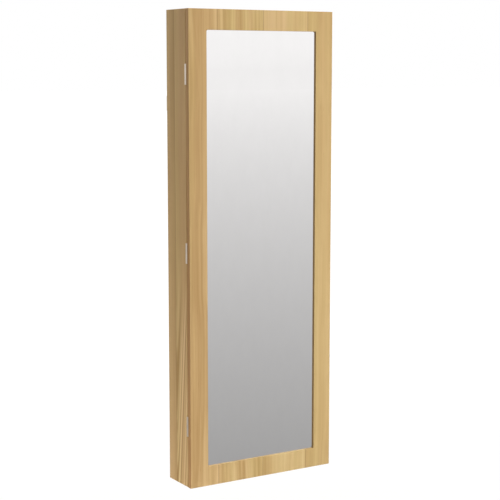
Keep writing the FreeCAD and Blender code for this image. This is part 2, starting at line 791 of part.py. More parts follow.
def add_half_disc(sketch, across, up, radius):
    """A half disc that bulges towards minus the sketch's first axis."""
    circle = Part.Circle(Vector(-5, 5, 0), Vector(0, 0, 1), 3)
    arc = sketch.addGeometry(Part.ArcOfCircle(circle, pi / 2, 3 * pi / 2))
    chord = sketch.addGeometry(Part.LineSegment(Vector(-5, 8, 0), Vector(-5, 2, 0)))
    sketch.addConstraint(Sketcher.Constraint("Coincident", arc, 1, chord, 1))
    sketch.addConstraint(Sketcher.Constraint("Coincident", arc, 2, chord, 2))
    sketch.addConstraint(Sketcher.Constraint("Vertical", chord))
    sketch.addConstraint(Sketcher.Constraint("PointOnObject", arc, 3, chord))
    dimension(sketch, "DistanceX", (-1, 1, arc, 3), across)
    dimension(sketch, "DistanceY", (-1, 1, arc, 3), up)
    dimension(sketch, "Radius", (arc,), radius)


def bracelet_bar_and_cups():
    half = "(inner_half - cup_floor - bar_clearance)"
    bar = turned("bracelet_bar", [
        (f"-{half}", "0"), (f"-{half}", "bar_radius - end_chamfer"),
        (f"-{half} + end_chamfer", "bar_radius"), (f"{half} - end_chamfer", "bar_radius"),
        (half, "bar_radius - end_chamfer"), (half, "0")])
    place(bar, "0", "bar_y", height("bar_height"))
    for label, side, turn in (("left_bar_cup", "-inner_half", UNTURNED),
                              ("right_bar_cup", "inner_half", HALF_TURN)):
        cup = turned(label, [
            ("-cup_stub_length", "0"), ("-cup_stub_length", "cup_stub_radius"), ("0", "cup_stub_radius"),
            ("0", "cup_radius"), ("cup_length - end_chamfer", "cup_radius"),
            ("cup_length", "cup_radius - end_chamfer"),
            ("cup_length", "bar_radius + bar_clearance"), ("cup_floor", "bar_radius + bar_clearance"),
            ("cup_floor", "0")])
        place(cup, side, "bar_y", height("bar_height"), turn)


def magnetic_catch():
    """The housing's local origin is on the side panel's inner face, at the middle of its front."""
    housing = new_body("catch_housing")
    ears = new_sketch(housing, "YZ")
    add_rectangle(ears, "catch_ear_setback", "-catch_height / 2 - catch_ear",
                  "catch_depth - 2 * catch_ear_setback", "catch_height + 2 * catch_ear")
    pad(housing, ears, "catch_ear_thickness", True)
    case = new_sketch(housing, "YZ")
    add_rectangle(case, "0", "-catch_height / 2", "catch_depth", "catch_height")
    pad(housing, case, "catch_width", True)
    cut_rectangle(housing, "XZ", "0", "-(catch_width + pole_spread) / 2 - fit_clearance",
                  "-pole_height / 2 - fit_clearance", "pole_spread + 2 * fit_clearance",
                  "pole_height + 2 * fit_clearance", "pole_depth - pole_reach + fit_clearance")
    screw_holes(housing, "YZ", "-catch_ear_thickness",
                [("catch_depth / 2", f"{sign}(catch_height + catch_ear) / 2") for sign in ("", "-")], True)
    place(housing, "inner_half", "catch_front_y", height("catch_height_up"))

    magnet = block("catch_magnet", "magnet_thickness", "magnet_depth", "pole_height")
    place(magnet, "catch_x - magnet_thickness / 2", "catch_front_y + magnet_setback",
          height("catch_height_up - pole_height / 2"))
    pole = block("catch_pole", "pole_thickness", "pole_depth", "pole_height")
    set_of("catch_poles", pole, [
        (across, "catch_front_y - pole_reach", height("catch_height_up - pole_height / 2"))
        for across in ("catch_x - pole_spread / 2", "catch_x + magnet_thickness / 2")])


# ---------------------------------------------------------------- hinges and screws

def hinge_leaf(label, hinge, on_door):
    """A leaf with every second knuckle; its local origin is the axis at the hinge's foot."""
    own = range(1 if on_door else 0, KNUCKLES, 2)
    other = range(0 if on_door else 1, KNUCKLES, 2)
    leaf = new_body(label)
    plate = new_sketch(leaf, "XY")
    near = "-hinge_gap / 2" if on_door else "leaf_gap"
    add_rectangle(plate, "0", near, "leaf_width", "leaf_thickness")
    pad(leaf, plate, "hinge_length")
    for number in other:
        drill(leaf, "XY", f"{number + 1} * knuckle_length", [("0", "0")],
              "knuckle_radius + knuckle_clearance", "knuckle_length")
    for number in own:
        knuckle = new_sketch(leaf, "XY", f"{number} * knuckle_length + knuckle_end_gap")
        add_circle(knuckle, "0", "0", "knuckle_radius")
        pad(leaf, knuckle, "knuckle_length - 2 * knuckle_end_gap")
    drill(leaf, "XY", "hinge_length", [("0", "0")], "pin_radius + pin_clearance", "hinge_length")
    spots = [("leaf_screw_offset", f"hinge_length / 2 {step}") for step in SCREW_STEPS]
    screw_holes(leaf, "XZ", "leaf_gap" if on_door else "-leaf_gap", spots, on_door)
    place(leaf, "-half_width", "hinge_y", height(f"{hinge} - hinge_length / 2"))


def hinges():
    for hinge in HINGES:
        hinge_leaf(f"{hinge}_cabinet_leaf", hinge, on_door=False)
        hinge_leaf(f"{hinge}_door_leaf", hinge, on_door=True)
    pin = new_body("hinge_pin")
    rod = new_sketch(pin, "XY")
    add_circle(rod, "0", "0", "pin_radius")
    pad(pin, rod, "hinge_length")
    chamfer(pin, "pin_radius / 4", lambda edge: edge.BoundBox.ZLength < 1e-4)
    set_of("hinge_pins", pin, [
        ("-half_width", "hinge_y", height(f"{hinge} - hinge_length / 2")) for hinge in HINGES])


def screw(label):
    """A countersunk screw with a cross in its head; the head's face is at z = 0 and the point is down."""
    body = new_body(label)
    outline = new_sketch(body, "XZ")
    neck = "screw_radius - screw_head_radius"
    add_polygon(outline, [
        ("0", "0"), ("screw_head_radius", "0"), ("screw_radius", neck),
        ("screw_radius", "screw_point - screw_length"), ("0", "-screw_length")])
    feature = body.newObject("PartDesign::Revolution", "Revolution")
    feature.Profile = outline
    feature.ReferenceAxis = (outline, ["V_Axis"])
    feature.Angle = 360
    doc.recompute()
    for wide, tall in (("screw_cross_length", "screw_cross_width"), ("screw_cross_width", "screw_cross_length")):
        cut_rectangle(body, "XY", "0", f"-{wide} / 2", f"-{tall} / 2", wide, tall, "screw_cross_depth")
    return body


def cabinet_screws():
    places = [("leaf_screw_x", "hinge_y + leaf_gap", height(spot), TO_REAR) for spot in HINGE_SCREWS]
    places += [(side + "hanger_x", "0", rise + "hanger_screw_rise", TO_FRONT)
               for side in ("", "-") for rise in ("", "-")]
    places += [("inner_half - catch_ear_thickness", "catch_front_y + catch_depth / 2",
                height(f"catch_height_up {sign} (catch_height + catch_ear) / 2"), TO_RIGHT) for sign in "+-"]
    set_of("cabinet_screws", screw("cabinet_screw"), places)


def door_screws():
    places = [("leaf_screw_x", "hinge_y - leaf_gap", height(spot), TO_FRONT) for spot in HINGE_SCREWS]
    places += [(f"-half_width + {across}", "door_back_y + clip_thickness", height(up), TO_FRONT)
               for across, up, turn in clip_spots()]
    places += [("catch_x", "door_back_y + strike_thickness",
                height(f"catch_height_up {sign} strike_screw_rise"), TO_FRONT) for sign in "+-"]
    places += [(f"{side}(rack_half_width - upright_width / 2)", "door_back_y + rack_depth",
                height(f"{strip_base(number)} + strip_height / 2"), TO_FRONT)
               for number in range(EARRING_STRIPS) for side in ("", "-")]
    set_of("door_screws", screw("door_screw"), places)


# ---------------------------------------------------------------- door

def clip_spots():
    """Where each clip's screw goes, from the door's lower left corner, and how the clip is turned."""
    left, right = "clip_line", "cabinet_width - clip_line"
    heights = ("clip_inset_outer", "clip_inset_inner", "cabinet_height - clip_inset_inner",
               "cabinet_height - clip_inset_outer")
    spots = [(left, up, UNTURNED) for up in heights]
    spots += [(right, up, Rotation(Vector(0, 1, 0), 180)) for up in heights]
    spots.append(("half_width", "clip_line", Rotation(Vector(0, 1, 0), -90)))
    spots.append(("half_width", "cabinet_height - clip_line", Rotation(Vector(0, 1, 0), 90)))
    return spots


def door_frame():
    """One board with the mirror's opening; its local origin is its left, front, lower corner."""
    frame = block("door_frame", "cabinet_width", "door_thickness", "cabinet_height")
    cut_rectangle(frame, "XZ", "0", "frame_width", "frame_width", "opening_width", "opening_height",
                  "door_thickness")
    right_edge = frame.Shape.BoundBox.XMax
    fillet(frame, "opening_corner",
           lambda edge: runs_along("Y")(edge) and 1 < edge.BoundBox.XMin < right_edge - 1)
    fillet(frame, "edge_round", lies_at("Y", 0))
    cut_rectangle(frame, "XZ", "-door_thickness", "rebate_start", "rebate_start",
                  "opening_width + 2 * rebate_width", "opening_height + 2 * rebate_width",
                  "rebate_depth", True)
    for hinge in HINGES:
        drill(frame, "XY", f"{hinge} + notch_length / 2", [("0", "door_thickness + hinge_gap / 2")],
              "notch_radius", "notch_length")
    spots = [("leaf_screw_offset", spot) for spot in HINGE_SCREWS]
    spots += [(across, up) for across, up, turn in clip_spots()]
    spots += [("half_width + catch_x", f"catch_height_up {sign} strike_screw_rise") for sign in "+-"]
    drill(frame, "XZ", "-door_thickness", spots, "screw_radius + fit_clearance", "pilot_depth", True)
    place(frame, "-half_width", "door_front_y", "base_z")


def sheet_in_rebate(label, thickness, behind):
    """A sheet the size of the glass; behind is how far its front is from the lip."""
    plate = block(label, "glass_width", thickness, "glass_height")
    chamfer(plate, "glass_corner", runs_along("Y"))
    place(plate, "-half_width + glass_start", f"door_front_y + mirror_lip + {behind}", height("glass_start"))


def lining_clips():
    clip = new_body("lining_clip")
    outline = new_sketch(clip, "XZ")
    add_rectangle(outline, "-clip_tail", "-clip_width / 2", "clip_tail + clip_reach", "clip_width")
    pad(clip, outline, "clip_thickness", True)
    fillet(clip, "clip_width / 3", runs_along("Y"))
    screw_holes(clip, "XZ", "-clip_thickness", [("0", "0")], True)
    set_of("lining_clips", clip, [
        (f"-half_width + {across}", "door_back_y", height(up), turn) for across, up, turn in clip_spots()])


def strike_plate():
    plate = new_body("strike_plate")
    outline = new_sketch(plate, "XZ")
    add_rectangle(outline, "-strike_width / 2", "-strike_height / 2", "strike_width", "strike_height")
    pad(plate, outline, "strike_thickness", True)
    fillet(plate, "strike_width / 4", runs_along("Y"))
    screw_holes(plate, "XZ", "-strike_thickness",
                [("0", "strike_screw_rise"), ("0", "-strike_screw_rise")], True)
    place(plate, "catch_x", "door_back_y", height("catch_height_up"))


def door_bumpers():
    bumper = new_body("door_bumper")
    outline = new_sketch(bumper, "XZ")
    add_circle(outline, "0", "0", "bumper_radius")
    pad(bumper, outline, "bumper_thickness", True)
    set_of("door_bumpers", bumper, [
        ("half_width - board / 2", "door_back_y", height(up))
        for up in ("bumper_inset", "cabinet_height - bumper_inset")])


def strip_base(number):
    return f"rack_base + strip_margin + {number} * strip_pitch"


def earring_rack():
    for label, corner in (("left_rack_upright", "-rack_half_width"),
                          ("right_rack_upright", "rack_half_width - upright_width")):
        upright = block(label, "upright_width", "upright_depth", "rack_height")
        rear = upright.Shape.BoundBox.YMax
        fillet(upright, "edge_round", lies_at("Y", rear))
        spots = [("upright_width / 2", f"{strip_base(number)} - rack_base + strip_height / 2")
                 for number in range(EARRING_STRIPS)]
        drill(upright, "XZ", "-upright_depth", spots, "screw_radius + fit_clearance", "pilot_depth", True)
        place(upright, corner, "door_back_y", height("rack_base"))
    for number in range(EARRING_STRIPS):
        strip = block(f"earring_strip_{number + 1}", "2 * rack_half_width", "strip_thickness", "strip_height")
        hole = drill(strip, "XZ", "0", [("earring_margin", "strip_height - earring_hole_drop")],
                     "earring_hole_radius", "strip_thickness")
        repeat(strip, hole, "X", "earring_span", EARRING_HOLES)
        ends = [(across, "strip_height / 2") for across in
                ("upright_width / 2", "2 * rack_half_width - upright_width / 2")]
        screw_holes(strip, "XZ", "-strip_thickness", ends, True)
        place(strip, "-rack_half_width", "door_back_y + upright_depth", height(strip_base(number)))


def door_tray():
    floor = block("door_tray_floor", "2 * door_tray_half_width - 2 * cheek_thickness", "door_tray_depth",
                  "door_tray_floor_thickness")
    place(floor, "-door_tray_half_width + cheek_thickness", "door_back_y", height("door_tray_height"))
    guard = block("door_tray_guard", "2 * door_tray_half_width", "door_tray_guard_thickness",
                  "door_tray_wall")
    top_edges = lies_at("Z", guard.Shape.BoundBox.ZMax)
    fillet(guard, "edge_round", lambda edge: runs_along("X")(edge) and top_edges(edge))
    place(guard, "-door_tray_half_width", "door_back_y + door_tray_depth", height("door_tray_height"))
    for label, corner in (("left_tray_cheek", "-door_tray_half_width"),
                          ("right_tray_cheek", "door_tray_half_width - cheek_thickness")):
        cheek = block(label, "cheek_thickness", "door_tray_depth", "door_tray_wall")
        place(cheek, corner, "door_back_y", height("door_tray_height"))


# ---------------------------------------------------------------- the assembly

left_side_panel()
right_side_panel()
end_panel("top_panel", at_top=True)
end_panel("bottom_panel", at_top=False)
back_panel()
back_lining()
corner_dowels()
cam_bolts()
cam_locks()
hanger_plate("left_hanger_plate", "-hanger_x")
hanger_plate("right_hanger_plate", "hanger_x")

for shelf_name in SHELVES:
    shelf(shelf_name, with_guard=shelf_name != "shelf_1", with_divider=shelf_name == "shelf_1")
shelf_pins()
for guard_number in (2, 3, 4):
    shelf_guard(guard_number)
bay_divider()
necklace_rail_and_pegs()
ring_tray_and_cushion()
bracelet_bar_and_cups()
magnetic_catch()
hinges()
cabinet_screws()

door_frame()
sheet_in_rebate("mirror_glass", "glass_thickness", "0")
sheet_in_rebate("mirror_pad", "pad_thickness", "glass_thickness")
sheet_in_rebate("door_lining", "door_lining_thickness", "glass_thickness + pad_thickness")
lining_clips()
strike_plate()
door_bumpers()
earring_rack()
door_tray()
door_screws()

doc.recompute()
for item in doc.Objects:
    if "Invalid" in item.State or "Error" in item.State:
        raise RuntimeError(f"{item.Label} did not recompute")
for sub_part in sub_parts:
    if sub_part.Shape.isNull() or not sub_part.Shape.isValid():
        raise RuntimeError(f"{sub_part.Label} has no valid shape")

os.makedirs("parts", exist_ok=True)
for sub_part in sub_parts:
    sub_part.Shape.exportStep(f"parts/{sub_part.Label}.step")
print(len(sub_parts), "sub-parts written")
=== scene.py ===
# %% [markdown]
# # A jewelry cabinet behind a mirror
# The real object is a shallow box of foil-wrapped board that hangs on a wall. Its door is a frame with a
# full-length mirror in it, and behind the door are velvet linings, shelves, a ring cushion, pegs and
# racks. Every solid piece is already modelled at its real size, so the lesson starts by loading those
# pieces. They stay where they are. What is left for Blender is what a solid can't say: the finish of each
# surface, the soft roll cushion, and the light and the camera. Lengths are in metres, and the front faces
# -Y.

# %% Load the solid pieces
from math import pi, radians

import bpy
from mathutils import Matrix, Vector


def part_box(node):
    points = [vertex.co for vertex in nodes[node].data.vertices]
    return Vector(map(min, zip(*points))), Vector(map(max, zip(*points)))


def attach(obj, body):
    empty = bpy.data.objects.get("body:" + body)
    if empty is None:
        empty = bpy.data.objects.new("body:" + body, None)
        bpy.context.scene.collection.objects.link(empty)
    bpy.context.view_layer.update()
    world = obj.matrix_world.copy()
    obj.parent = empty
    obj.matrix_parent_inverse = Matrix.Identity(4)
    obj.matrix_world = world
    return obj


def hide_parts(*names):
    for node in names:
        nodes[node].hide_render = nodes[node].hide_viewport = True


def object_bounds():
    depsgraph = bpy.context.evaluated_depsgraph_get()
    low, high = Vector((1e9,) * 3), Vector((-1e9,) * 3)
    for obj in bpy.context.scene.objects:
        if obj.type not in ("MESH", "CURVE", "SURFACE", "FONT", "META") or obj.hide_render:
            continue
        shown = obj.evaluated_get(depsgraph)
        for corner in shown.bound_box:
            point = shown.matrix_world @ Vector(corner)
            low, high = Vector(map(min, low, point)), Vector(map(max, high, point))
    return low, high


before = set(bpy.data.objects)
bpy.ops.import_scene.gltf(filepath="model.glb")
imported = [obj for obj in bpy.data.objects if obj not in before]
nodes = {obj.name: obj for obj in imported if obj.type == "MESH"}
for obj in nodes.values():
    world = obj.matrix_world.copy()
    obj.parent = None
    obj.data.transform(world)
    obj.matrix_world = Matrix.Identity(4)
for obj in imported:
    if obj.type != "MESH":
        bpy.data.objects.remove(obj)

cad_low, cad_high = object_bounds()
print(len(nodes), "solid pieces,", " x ".join(f"{side:.3f}" for side in cad_high - cad_low), "m")

# %% [markdown]
# ## The camera
# A product photograph of something this tall is taken from a few paces away with a long lens, so that its
# edges stay nearly parallel. The camera here stands to the left of the cabinet, a little below its top,
# and looks down by several degrees, which is why the uprights lean together a little towards the bottom
# of the picture.

# %% Place the camera
CAMERA_PLACE = (-1.597, -2.655, 0.073)
CAMERA_HEADING = 31.5
CAMERA_PITCH = -7.62
CAMERA_LENS = 96.88

bpy.ops.object.camera_add(
    location=CAMERA_PLACE,
    rotation=(radians(90 + CAMERA_PITCH), 0, radians(-CAMERA_HEADING)),
)
camera = bpy.context.object
camera.name = "photo_camera"
camera.data.lens = CAMERA_LENS
bpy.context.scene.camera = camera
print("camera", CAMERA_LENS, "mm, looking down by", -CAMERA_PITCH, "degrees")

# %% [markdown]
# ## Building materials from nodes
# A material is a small graph: textures make numbers, ramps turn numbers into colours, and the shader
# turns both into light. The same few moves come back in every finish, so they are helpers. Colours are
# written as they are read off a screen, from 0 to 255, and turned into the linear values that shaders
# work in.

# %% Helpers for nodes and colours
WHITE = (1, 1, 1, 1)


def paint(red, green, blue):
    """The linear colour, with alpha, of a screen colour given from 0 to 255."""
    linear = []
    for share in (red / 255, green / 255, blue / 255):
        linear.append(share / 12.92 if share <= 0.04045 else ((share + 0.055) / 1.055) ** 2.4)
    return (*linear, 1)


def add_node(tree, kind, sockets=None, **settings):
    """Adds a node. A socket's value is a number, a vector, or the output that is linked to it."""
    made = tree.nodes.new(kind)
    for name, value in settings.items():
        setattr(made, name, value)
    for socket, value in (sockets or {}).items():
        if isinstance(value, bpy.types.NodeSocket):
            tree.links.new(value, made.inputs[socket])
        else:
            made.inputs[socket].default_value = value
    return made


def calculate(tree, operation, *values):
    """One Math node, as an output."""
    return add_node(tree, "ShaderNodeMath", dict(enumerate(values)), operation=operation).outputs[0]


def weigh_up(tree, *parts):
    """The sum of some outputs, each times its own weight, as an output."""
    total = 0
    for output, weight in parts:
        total = calculate(tree, "MULTIPLY_ADD", output, weight, total)
    return total


def combine(tree, operation, first, second):
    """One Vector Math node on two vectors, as an output."""
    return add_node(tree, "ShaderNodeVectorMath", {0: first, 1: second}, operation=operation).outputs[0]


def split(tree, vector):
    """A vector's three numbers, as outputs named X, Y and Z."""
    return add_node(tree, "ShaderNodeSeparateXYZ", {0: vector}).outputs


def noise(tree, vector, scale, detail=3, roughness=0.5):
    """Noise stretched by a scale for each axis, as an output from 0 to 1."""
    stretched = combine(tree, "MULTIPLY", vector, scale)
    sockets = {"Vector": stretched, "Scale": 1, "Detail": detail, "Roughness": roughness}
    return add_node(tree, "ShaderNodeTexNoise", sockets).outputs[0]


def spread(tree, value, low, high, to_low=0, to_high=1):
    """A value's range from low to high, spread to another range and held inside it."""
    sockets = {"Value": value, "From Min": low, "From Max": high, "To Min": to_low, "To Max": to_high}
    return add_node(tree, "ShaderNodeMapRange", sockets).outputs[0]


def ramp(tree, value, *stops):
    """A colour ramp with a stop for each (position, colour), as an output."""
    made = add_node(tree, "ShaderNodeValToRGB", {0: value})
    elements = made.color_ramp.elements
    for index, (position, colour) in enumerate(stops):
        stop = elements[index] if index < 2 else elements.new(position)
        stop.position, stop.color = position, colour
    return made.outputs[0]


def mix(tree, share, first, second, blend="MIX"):
    """Two colours mixed by a share from 0 to 1, as an output."""
    return add_node(
        tree, "ShaderNodeMix", {0: share, 6: first, 7: second}, data_type="RGBA", blend_type=blend
    ).outputs[2]


def blended(tree, share, first, second):
    """Two numbers mixed by a share from 0 to 1, as an output."""
    return add_node(tree, "ShaderNodeMix", {0: share, 2: first, 3: second}, data_type="FLOAT").outputs[0]


def bump(tree, height, depth, strength):
    """A height turned into a bumpy normal; depth is in metres."""
    return add_node(
        tree, "ShaderNodeBump", {"Height": height, "Distance": depth, "Strength": strength}
    ).outputs[0]


def start_material(name, **constants):
    """A new material with constants on its shader: (material, tree, shader, object coordinates)."""
    material = bpy.data.materials.new(name)
    material.use_nodes = True
    tree = material.node_tree
    shader = tree.nodes["Principled BSDF"]
    for socket, value in constants.items():
        shader.inputs[socket.replace("_", " ")].default_value = value
    place = add_node(tree, "ShaderNodeTexCoord").outputs["Object"]
    return material, tree, shader, place


def finish_material(tree, shader, **outputs):
    """Links outputs to the shader's sockets."""
    for socket, output in outputs.items():
        tree.links.new(output, shader.inputs[socket.replace("_", " ")])


def dress(material, *names):
    """Gives the solid pieces of these names one material all over."""
    for name in names:
        slots = nodes[name].material_slots
        for slot in slots:
            slot.material = material
        if not slots:
            nodes[name].data.materials.append(material)
    print(material.name, "on", ", ".join(names))


# %% [markdown]
# ## A pale studio
# The cabinet hangs half a metre above a pale floor. To the camera that floor is white, and near the
# cabinet a part of its own shading is kept, so that it still carries a soft shadow. The mirror is another
# matter. What it shows is the floor running away from the cabinet, and a floor that grows lighter with
# distance is what paints a mirror dark at its foot and bright at its head. A painted card behind the
# camera could do the same, but it would have to be very large. So reflected rays see a gradient on the
# floor, and camera rays don't.

# %% Tell the camera's rays from the mirror's
def kinds_of_ray(tree):
    """Two outputs: 1 for what the camera sees, also through clear pieces, and 1 for what a shiny surface
    reflects."""
    ray = add_node(tree, "ShaderNodeLightPath").outputs
    seen = calculate(tree, "MAXIMUM", ray["Is Camera Ray"], ray["Is Transmission Ray"])
    return seen, ray["Is Glossy Ray"]


# %% Lay the floor
FLOOR_DROP = 0.5
FLOOR_SIZE = 160
FLOOR_WHITE = 1.1
SHADING_KEPT = 0.3
SHADING_NEAR, SHADING_FAR = 1.2, 3.6
FAR_BRIGHTNESS = 0.98
NEAR_DIMMING = 0.75
DIMMING_REACH = 7.4

bpy.ops.mesh.primitive_plane_add(size=FLOOR_SIZE, location=(0, 0, cad_low.z - FLOOR_DROP))
floor = bpy.context.object
floor.name = "studio_floor"

floor_paint, tree, shader, place = start_material(
    "studio_floor", Base_Color=paint(240, 240, 240), Roughness=0.9
)
distance = add_node(tree, "ShaderNodeVectorMath", {0: place}, operation="LENGTH").outputs["Value"]
run = calculate(tree, "ADD", 1, calculate(tree, "DIVIDE", distance, DIMMING_REACH))
gradient = calculate(tree, "SUBTRACT", FAR_BRIGHTNESS, calculate(tree, "DIVIDE", NEAR_DIMMING, run))
reflected = add_node(tree, "ShaderNodeEmission", {"Strength": gradient})
white = add_node(tree, "ShaderNodeEmission", {"Strength": FLOOR_WHITE})
seen, mirrored = kinds_of_ray(tree)
whiteness = spread(tree, distance, SHADING_NEAR, SHADING_FAR, 1 - SHADING_KEPT, 1)
share = calculate(tree, "MULTIPLY", seen, whiteness)
whitened = add_node(tree, "ShaderNodeMixShader", {0: share, 1: shader.outputs[0], 2: white.outputs[0]})
surface = add_node(
    tree, "ShaderNodeMixShader", {0: mirrored, 1: whitened.outputs[0], 2: reflected.outputs[0]}
)
tree.links.new(surface.outputs[0], tree.nodes["Material Output"].inputs["Surface"])
floor.data.materials.append(floor_paint)
print("floor", FLOOR_DROP, "m below the cabinet")

# %% [markdown]
# The sky goes on from the floor's far edge. To the camera it is plain white, and on the cabinet it casts
# a weak, slightly warm light from all round, which fills the shadows. A reflected ray finds the far
# floor's brightness at the horizon and a little more above it, so the mirror shows no line where the
# floor ends.

# %% Paint the sky
SKY_LIGHT = 0.4
WARM_LIGHT = (1.0, 0.95, 0.86, 1)
SKY_TOP_BRIGHTNESS = 1.0
SKY_REACH = 0.02
horizon_brightness = FAR_BRIGHTNESS - NEAR_DIMMING / (1 + FLOOR_SIZE / 2 / DIMMING_REACH)

world = bpy.data.worlds.new("studio_sky")
bpy.context.scene.world = world
world.use_nodes = True
tree = world.node_tree
background = tree.nodes["Background"]
direction = add_node(tree, "ShaderNodeTexCoord").outputs["Generated"]
height = split(tree, direction)["Z"]
above = calculate(tree, "MAXIMUM", height, 0)
climb = calculate(tree, "ADD", 1, calculate(tree, "DIVIDE", above, SKY_REACH))
dimming = calculate(tree, "DIVIDE", SKY_TOP_BRIGHTNESS - horizon_brightness, climb)
reflected = calculate(tree, "SUBTRACT", SKY_TOP_BRIGHTNESS, dimming)
seen, mirrored = kinds_of_ray(tree)
plain = spread(tree, seen, 0, 1, SKY_LIGHT, 1)
tree.links.new(blended(tree, mirrored, plain, reflected), background.inputs["Strength"])
neutral = calculate(tree, "MAXIMUM", seen, mirrored)
tree.links.new(mix(tree, neutral, WARM_LIGHT, WHITE), background.inputs["Color"])
print("sky light", SKY_LIGHT)

# %% [markdown]
# ## Soft lamps
# Two large soft lamps light the front, one from high up and one from low on the right, and the left side
# falls into half shade, which shows the cabinet's depth. A small warm one lifts the foot of that side.
# One behind lifts the back, which nobody sees on the wall but which a finished model still has.

# %% Set the lamps
def soft_lamp(name, place, aim, side, power):
    """A square area lamp that faces a point."""
    bpy.ops.object.light_add(type="AREA", location=place)
    lamp = bpy.context.object
    lamp.name = name
    lamp.data.size = side
    lamp.data.energy = power
    lamp.rotation_euler = (Vector(aim) - Vector(place)).to_track_quat("-Z", "Y").to_euler()
    print(name, power, "W")
    return lamp


middle = (cad_low + cad_high) / 2
foot = Vector((0, 0, cad_low.z))
soft_lamp("key_lamp", (1.9, -1.8, -0.6), middle, 1.8, 32).visible_glossy = False
soft_lamp("top_lamp", (0.6, -2.0, 3.8), middle, 2.0, 130)
fill = soft_lamp("left_fill_lamp", (-0.75, -0.3, -1.3), foot, 0.5, 4.4)
fill.visible_glossy = False
fill.data.color = WARM_LIGHT[:3]
soft_lamp("back_lamp", (-1.0, 3.2, 0.9), middle, 2.4, 34).visible_glossy = False

# %% [markdown]
# ## Oak foil
# The board is wrapped in a printed oak foil with a satin lacquer. The print shows glued planks about as
# wide as a hand, each with its own tone and a fine dark seam between. Some are calm, with weaker streaks.
# The planks are counted across the board: the whole part of the count is the plank's number, and how near
# the count is to a whole number says how near the seam is. The number also moves each plank to its own
# place in the noise, so that no streak crosses a seam.

# %% Planks
PLANK_WIDTH = 0.118
SEAM_WIDTH = 0.0016
PLANK_JUMP = (3, 3, 3)
CALM_FROM, CALM_TO = 0.5, 0.95
MOST_CALM = 0.55


def planks(tree, local, across, sheet):
    """The planks of a sheet of the print: each plank's own coordinates, its tone from 0 to 1, its calmness,
    and a number that is 1 on a seam."""
    count = calculate(tree, "DIVIDE", across, PLANK_WIDTH)
    number = calculate(tree, "ADD", calculate(tree, "FLOOR", count), sheet)
    plank = add_node(tree, "ShaderNodeTexWhiteNoise", {"W": number}, noise_dimensions="1D").outputs
    to_seam = calculate(tree, "MULTIPLY", calculate(tree, "PINGPONG", count, 0.5), PLANK_WIDTH)
    jump = combine(tree, "MULTIPLY", plank["Color"], PLANK_JUMP)
    own = combine(tree, "ADD", local, jump)
    luck = split(tree, plank["Color"])["Y"]
    calm = spread(tree, luck, CALM_FROM, CALM_TO, 0, MOST_CALM)
    return own, plank["Value"], calm, spread(tree, to_seam, 0, SEAM_WIDTH, 1, 0)


print("planks", PLANK_WIDTH, "m wide, with seams of", SEAM_WIDTH, "m")

# %% [markdown]
# Inside a plank the grain is noise that is stretched along its length: broad soft streaks, narrow ones,
# and fibres. The streaks wander a little, as a tree does. Low on the sides the grain swings round in tall
# arches, as where a board is cut near the heart of the tree. There the streaks follow the contour lines
# of a long sloping ridge.

# %% Streaks and arches
WANDER = 0.016
WANDER_SCALE = (5, 5, 2.2)
ARCH_SLANT = 0.075
ARCH_ROUNDING = 0.008
ARCH_DENSITY = 100
ARCH_FADE = 0.16
HEART_WIDTH = 0.011
HEART_DARKENING = 0.1
ARCH_END = 0.0495


def wandering(tree, own):
    """A plank's coordinates, moved sideways by a slow noise."""
    sideways = spread(tree, noise(tree, own, WANDER_SCALE, 2), 0, 1, -WANDER, WANDER)
    sway = add_node(tree, "ShaderNodeCombineXYZ", {"X": sideways, "Y": sideways}).outputs[0]
    return combine(tree, "ADD", own, sway)


def arches(tree, across, up, centre, top, strength):
    """The streaks of an arched figure with a dark heart at its centre, and how much of it shows: its full
    strength below top, fading to none above it, and none beyond its plank or its end across."""
    side = calculate(tree, "SUBTRACT", across, centre)
    ridge = calculate(tree, "SQRT", calculate(tree, "MULTIPLY_ADD", side, side, ARCH_ROUNDING ** 2))
    level = calculate(tree, "MULTIPLY_ADD", up, -ARCH_SLANT, ridge)
    lines = {"W": calculate(tree, "MULTIPLY", level, ARCH_DENSITY), "Scale": 1, "Detail": 2}
    streaks = add_node(tree, "ShaderNodeTexNoise", lines, noise_dimensions="1D").outputs[0]
    heart = spread(tree, calculate(tree, "ABSOLUTE", side), 0, HEART_WIDTH, HEART_DARKENING, 0)
    past_seam = calculate(tree, "GREATER_THAN", across, 0)
    before_end = calculate(tree, "LESS_THAN", across, ARCH_END)
    in_plank = calculate(tree, "MULTIPLY", past_seam, before_end)
    share = calculate(tree, "MULTIPLY", in_plank, spread(tree, up, top, top + ARCH_FADE, strength, 0))
    return calculate(tree, "SUBTRACT", spread(tree, streaks, 0.33, 0.67, 0.03, 1), heart), share


print("arches fade out over", ARCH_FADE, "m")

# %% [markdown]
# The foil's colour comes from one number, its tone, through a ramp from brown streaks to pale ones. The
# tone is a weighted sum of broad streaks, narrow lines and slow clouds, with each plank's own tone added.
# A second slow noise, the blush, turns the colour a little towards pink or yellow. Pores and seams are
# darker dashes and lines, and they are also a little sunk, because such a foil is embossed.

# %% The foil
OAK_TONES = (
    (0.35, paint(170, 135, 88)), (0.44, paint(184, 151, 102)), (0.5, paint(194, 162, 113)),
    (0.56, paint(203, 173, 125)), (0.65, paint(215, 187, 141)),
)
OAK_YELLOW, OAK_PINK = (0.97, 1.03, 0.985, 1), (0.995, 1.0, 1.03, 1)
PORE_COLOUR, SEAM_COLOUR = paint(140, 104, 62), paint(128, 95, 56)
STREAK_SCALE, LINE_SCALE, FIBRE_SCALE = (38, 38, 0.45), (170, 170, 1.2), (1100, 1100, 14)
CLOUD_SCALE, BLUSH_SCALE = (9, 9, 1.3), (26, 26, 0.45)
STREAK_WEIGHT, LINE_WEIGHT, CLOUD_WEIGHT = 0.5, 0.28, 0.22
PLANK_WEIGHT = 0.035
AVERAGE_TONE = 0.5
PORE_STRENGTH, SEAM_STRENGTH = 0.3, 0.5
EMBOSSING = 0.00012


